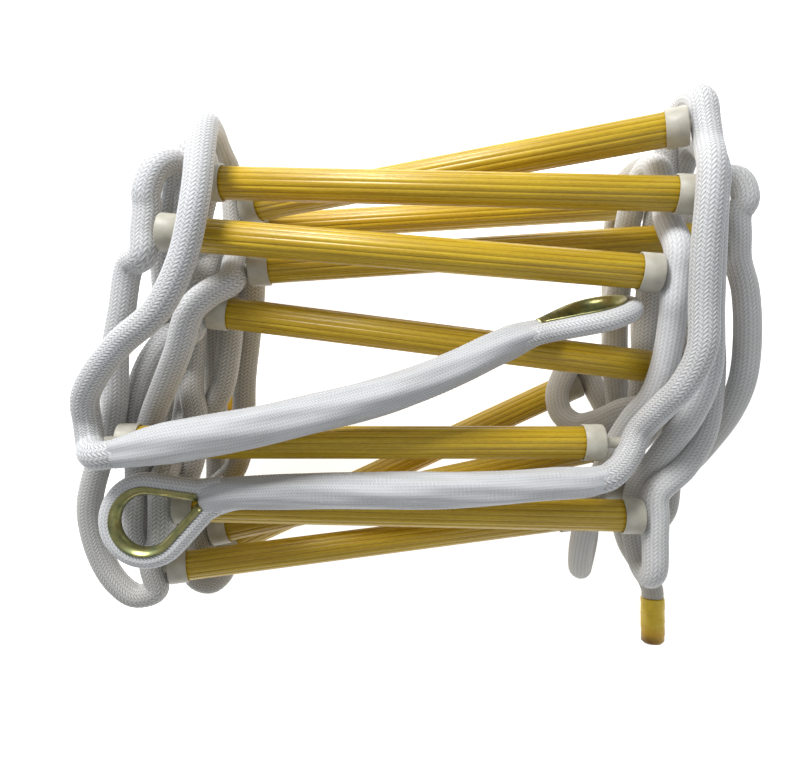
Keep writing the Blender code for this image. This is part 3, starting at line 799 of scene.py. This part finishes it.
def tube_mesh(name, length):
    around = RIBS * 8
    outer, rise = rib_profile(around)
    inner = np.full(around, BORE_R)
    rim = 0.0003
    rows = [(TUBE_INSET, inner), (TUBE_INSET, outer - rim), (TUBE_INSET + rim, outer),
            (length / 2, outer), (length - TUBE_INSET - rim, outer),
            (length - TUBE_INSET, outer - rim), (length - TUBE_INSET, inner), (length / 2, inner)]
    angle = 2 * np.pi * np.arange(around) / around
    verts = np.array([np.stack([np.full(around, x), radius * np.cos(angle), radius * np.sin(angle)], 1)
                      for x, radius in rows])
    quads, corner_i, corner_k = grid_quads(len(rows) + 1, around)
    quads = quads % (len(rows) * around)
    mesh = make_mesh(name, verts.reshape(-1, 3), quads[:, ::-1])
    add_values(mesh, "rib_height", np.tile(rise, len(rows)))
    return mesh


def cap_profile(reach):
    """Outline of a cap from the tip of its tail to its rim, with rounded edges."""
    edge = 0.0012
    corner = [(-edge + edge * math.sin(a), CAP_R - edge + edge * math.cos(a))
              for a in np.linspace(math.pi / 2, 0, 6)]
    rim = [(-CAP_LENGTH + 0.0005, CAP_R), (-CAP_LENGTH, CAP_R - 0.0005), (-CAP_LENGTH, CAP_BORE_R + 0.0002),
           (-CAP_LENGTH + 0.0002, CAP_BORE_R), (-CAP_FLOOR, CAP_BORE_R)]
    tail = [(reach, SPIGOT_R * 0.7), (reach - 0.0005, SPIGOT_R * 0.92), (reach - 0.0015, SPIGOT_R),
            (0.0008, SPIGOT_R), (0.0002, SPIGOT_R + 0.0003), (0.0, SPIGOT_R + 0.0008)]
    return tail + corner + rim


def cap_mesh(name, reach):
    profile = cap_profile(reach)
    around = 48
    angle = 2 * np.pi * np.arange(around) / around
    rows = [np.stack([np.full(around, x), radius * np.cos(angle), radius * np.sin(angle)], 1)
            for x, radius in profile]
    quads, corner_i, corner_k = grid_quads(len(rows), around)
    lids = (np.arange(around), (len(rows) - 1) * around + np.arange(around)[::-1])
    return make_mesh(name, np.vstack(rows), quads[:, ::-1], lids)


def tail_reach(samples, end, outward):
    """Distance from the cap face to the tip of the tail inside the rope."""
    axis = unit(outward)
    offset = samples - end
    along = offset @ axis
    away = np.linalg.norm(offset - along[:, None] * axis, axis=1)
    near = (along > 0.004) & (along < 0.035) & (away < 0.006)
    best = np.argmin(np.where(near, away * 1.5 + along, 9.0))
    return along[best] - CORE_R + SPIGOT_BURY


def add_rungs(glass, nylon):
    lines = {"left": smooth_path(LEFT_ROPE), "right": smooth_path(RIGHT_ROPE)}
    for number in RUNGS:
        left, right = rung_ends(number)
        body = f"rung_{number:02d}"
        tube = add_object(f"{body}_fluted_tube", tube_mesh(body, np.linalg.norm(right - left)), glass)
        tube.matrix_world = axis_frame(left, right - left)
        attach(tube, body)
        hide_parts(f"{body}_tube")
        for side, end, outward in (("left", left, left - right), ("right", right, right - left)):
            reach = tail_reach(lines[side], end, outward)
            cap = add_object(f"{body}_nylon_cap_{side}", cap_mesh(f"{body}_{side}", reach), nylon)
            cap.matrix_world = axis_frame(end, outward)
            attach(cap, body)
            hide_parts(f"{body}_cap_{side}")


# ---------------------------------------------------------------- eyes
def eye_axes(eye):
    point, along, normal = eye
    x = unit(along)
    z = np.array(normal, float)
    z = unit(z - x * z.dot(x))
    return x, np.cross(z, x), z, point


def teardrop(offset, start_x, arc_steps, straight_steps):
    """Half-turn path round the thimble hole, at a distance outside it, with outward sides."""
    centre = HOLE_LENGTH - HOLE_R
    half = math.asin(HOLE_R / centre)
    radius = HOLE_R + offset
    lean = math.pi / 2 + half
    tangent = np.array((centre + radius * math.cos(lean), radius * math.sin(lean), 0))
    outward = np.array((math.cos(lean), math.sin(lean), 0))
    along = np.array((math.cos(half), math.sin(half), 0))
    run = (tangent[0] - start_x) / math.cos(half)
    path = []
    for k in range(straight_steps):
        path.append((tangent - along * run * (1 - k / straight_steps), outward))
    for k in range(arc_steps + 1):
        angle = lean - 2 * lean * k / arc_steps
        side = np.array((math.cos(angle), math.sin(angle), 0))
        path.append((np.array((centre, 0, 0)) + side * radius, side))
    flip = np.array((1, -1, 1))
    return path + [(point * flip, side * flip) for point, side in path[:straight_steps]][::-1]


def thimble_mesh(name):
    """Bent channel with rolled lips that lines the eye."""
    path = teardrop(THIMBLE_WALL + GROOVE_THIMBLE_R, THIMBLE_START, 72, 12)
    inner_r = GROOVE_THIMBLE_R
    outer_r = GROOVE_THIMBLE_R + THIMBLE_WALL
    spread = math.radians(68)
    angles = np.linspace(-spread, spread, 21)
    profile = [(-inner_r * math.cos(a), inner_r * math.sin(a)) for a in angles]
    middle_r = (inner_r + outer_r) / 2
    for a in np.linspace(0, math.pi, 7)[1:-1]:
        lip = THIMBLE_WALL / 2
        radius = middle_r - lip * math.cos(a)
        turn = spread + lip * math.sin(a) / middle_r
        profile.append((-radius * math.cos(turn), radius * math.sin(turn)))
    profile += [(-outer_r * math.cos(a), outer_r * math.sin(a)) for a in angles[::-1]]
    for a in np.linspace(0, math.pi, 7)[1:-1]:
        lip = THIMBLE_WALL / 2
        radius = middle_r + lip * math.cos(a)
        turn = -spread - lip * math.sin(a) / middle_r
        profile.append((-radius * math.cos(turn), radius * math.sin(turn)))
    around = len(profile)
    verts = [point + side * out + np.array((0, 0, up)) for point, side in path for out, up in profile]
    quads, corner_i, corner_k = grid_quads(len(path), around)
    lids = (np.arange(around)[::-1], (len(path) - 1) * around + np.arange(around))
    return make_mesh(name, np.array(verts), quads, lids)


def loop_points(eye, buried):
    """Line of the rope that leaves the splice, goes round the thimble and comes back into it."""
    x, y, z, origin = eye_axes(eye)
    path = [point for point, side in teardrop(THIMBLE_WALL + GROOVE_THIMBLE_R, LOOP_START, 36, 6)]
    inside = [np.array(p) for p in buried]
    flip = np.array((1, -1, 1))
    local = inside + path + [p * flip for p in inside[::-1]]
    return [origin + x * p[0] + y * p[1] + z * p[2] for p in local]


def add_eye(prefix, eye, body, steel, rope, buried):
    thimble = add_object(f"{prefix}_thimble_channel", thimble_mesh(f"{prefix}_thimble"), steel)
    thimble.matrix_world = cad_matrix(*eye_axes(eye))
    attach(thimble, body)
    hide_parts(f"{prefix}_thimble")
    points = smooth_path(loop_points(eye, buried))
    path, run, verts, height, column, phase = lay_braid(
        points, LOOP_R, LOOP_COLUMNS, LOOP_PITCH, LOOP_DEPTH, rope_wobble, eye_axes(eye)[2])
    mesh = braided_mesh(f"{prefix}_loop", verts, height, column, phase, 0, len(path))
    loop = add_object(f"{prefix}_eye_loop_braid", mesh, rope)
    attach(loop, body)
    declare_rope(f"{prefix}_eye_loop", path)


# ---------------------------------------------------------------- build
def build():
    add_camera()
    add_light()
    add_floor()
    rope = rope_material("rope_polyester", (0.26, 0.25, 0.235), (0.57, 0.575, 0.585),
                         (0.79, 0.805, 0.83), 11.0, 0.9)
    served = rope_material("served_cover", (0.36, 0.357, 0.355), (0.53, 0.54, 0.555),
                           (0.68, 0.70, 0.725), 7.0, 0.06)
    tapes = add_tapes(tape_material())
    side_ropes(rope)
    splice("lower_splice_cover", "lower_eye_splice", LOWER_SPLICE, LOWER_SPLICE_RADII,
           LOWER_EYE, RIGHT_ROPE, served)
    splice("upper_splice_cover", "upper_eye_splice", UPPER_SPLICE, UPPER_SPLICE_RADII,
           UPPER_EYE, LEFT_ROPE, served)
    steel = thimble_material()
    buried = ((-0.020, 0.0050, 0), (-0.015, 0.0060, 0), (-0.010, 0.0073, 0))
    add_eye("lower", LOWER_EYE, "lower_leg", steel, rope, buried)
    add_eye("upper", UPPER_EYE, "upper_leg", steel, rope, buried)
    add_rungs(glass_material(), nylon_material())


build()
